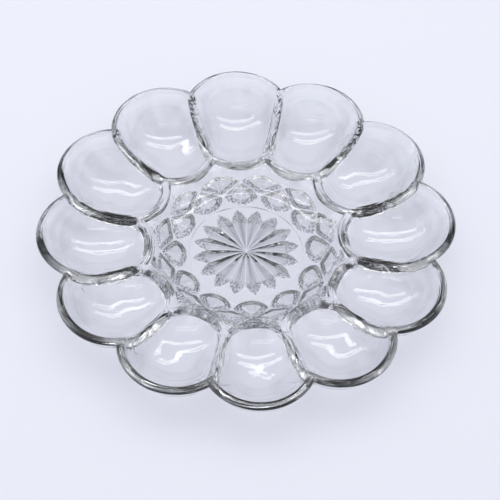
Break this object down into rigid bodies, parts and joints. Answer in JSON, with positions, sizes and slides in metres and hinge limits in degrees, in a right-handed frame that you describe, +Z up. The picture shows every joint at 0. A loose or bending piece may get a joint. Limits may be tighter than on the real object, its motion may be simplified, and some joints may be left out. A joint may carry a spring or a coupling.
{
  "type": "deviled egg platter",
  "caption": "Round pressed-glass serving plate with a scalloped ring of rounded egg wells round a shallow dish with a star and thumbprint pattern underneath.",
  "frame": {"origin": "middle of the plate on the table plane, under the star", "axes": "+Z up, out of the dish; +Y from the middle through egg_well_01, the well farthest from the camera in the picture; the wells are numbered clockwise seen from above"},
  "size_m": [0.25, 0.25, 0.0297],
  "materials": {
    "glass": "pressed and fire-polished, clear with a faint grey-green cast in thick edges"
  },
  "bodies": {
    "root": {"star_medallion": "glass", "thumbprint_ring": "glass", "egg_well_01": "glass", "egg_well_02": "glass", "egg_well_03": "glass", "egg_well_04": "glass", "egg_well_05": "glass", "egg_well_06": "glass", "egg_well_07": "glass", "egg_well_08": "glass", "egg_well_09": "glass", "egg_well_10": "glass", "egg_well_11": "glass", "egg_well_12": "glass"}
  },
  "joints": []
}
